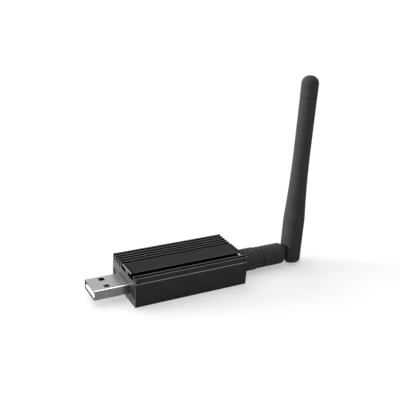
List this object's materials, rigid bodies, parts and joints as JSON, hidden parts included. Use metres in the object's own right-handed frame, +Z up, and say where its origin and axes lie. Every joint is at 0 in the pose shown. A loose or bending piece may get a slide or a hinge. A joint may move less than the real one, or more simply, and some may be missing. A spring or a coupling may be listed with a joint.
{
  "type": "smart home usb radio stick",
  "caption": "USB stick radio in a finned aluminium housing, with a plug at one end and, at the other, a screw-on whip antenna that swivels and folds at an elbow.",
  "frame": {"origin": "centre of the housing's flat underside", "axes": "+X from the plug to the antenna, +Y across the housing towards the fins, +Z up, away from the underside"},
  "size_m": [0.106, 0.0254, 0.0909],
  "materials": {
    "black_anodised": "black anodised, satin",
    "blackened_steel": "black oxide, satin",
    "plug_steel": "nickel plated, satin",
    "white_nylon": "moulded",
    "gold_plate": "thin gold plating on brass",
    "board_laminate": "glass epoxy with solder resist",
    "chip_epoxy": "moulded epoxy",
    "shield_tinplate": "tin plated",
    "capacitor_ceramic": "fired ceramic",
    "resistor_ceramic": "glazed ceramic",
    "white_fluoropolymer": "turned",
    "nickel_plate": "nickel plated, bright",
    "black_polymer": "moulded, fine matte texture",
    "cable_jacket": "extruded jacket",
    "bare_brass": "bare"
  },
  "bodies": {
    "housing": {"housing_extrusion": "black_anodised", "usb_end_plate": "black_anodised", "antenna_end_plate": "black_anodised", "usb_plate_screws": "blackened_steel", "antenna_plate_screws": "blackened_steel", "usb_shell": "plug_steel", "usb_insulator": "white_nylon", "usb_contacts": "gold_plate", "main_board": "board_laminate", "radio_chip": "chip_epoxy", "radio_shield_can": "shield_tinplate", "radio_crystal": "shield_tinplate", "usb_bridge_chip": "chip_epoxy", "voltage_regulator": "chip_epoxy", "surge_protection_chip": "chip_epoxy", "chip_capacitors": "capacitor_ceramic", "chip_resistors": "resistor_ceramic", "rf_jack_body": "gold_plate", "rf_jack_insulator": "white_fluoropolymer", "rf_jack_contact": "gold_plate", "jack_lock_washer": "nickel_plate", "jack_hex_nut": "nickel_plate"},
    "connector_core": {"connector_ferrule": "gold_plate", "connector_insulator": "white_fluoropolymer", "connector_pin": "gold_plate"},
    "coupling_nut": {"nut_insert": "gold_plate", "knurled_sleeve": "black_polymer"},
    "antenna_base": {"elbow_base": "black_polymer"},
    "whip": {"whip_sheath": "black_polymer", "whip_tip_cap": "black_polymer", "antenna_cable": "cable_jacket", "dipole_sleeve": "bare_brass", "radiator_wire": "bare_brass"}
  },
  "joints": [
    {"name": "antenna_unscrew", "type": "slide", "parent": "housing", "child": "connector_core", "axis": [1, 0, 0], "range_m": [0, 0.00423]},
    {"name": "nut_turn", "type": "hinge", "parent": "connector_core", "child": "coupling_nut", "pos_m": [0.034, -0.0018, 0.0056], "axis": [1, 0, 0], "range_deg": [0, 2160]},
    {"name": "antenna_swivel", "type": "hinge", "parent": "connector_core", "child": "antenna_base", "pos_m": [0.048, -0.0018, 0.0056], "axis": [1, 0, 0], "continuous": true},
    {"name": "elbow_tilt", "type": "hinge", "parent": "antenna_base", "child": "whip", "pos_m": [0.0586, -0.0018, 0.0056], "axis": [0, 1, 0], "range_deg": [0, 90], "deforming": ["antenna_cable"]}
  ],
  "couplings": [
    {"joint": "nut_turn", "follows": "antenna_unscrew", "rad_per_m": 8905.3}
  ]
}
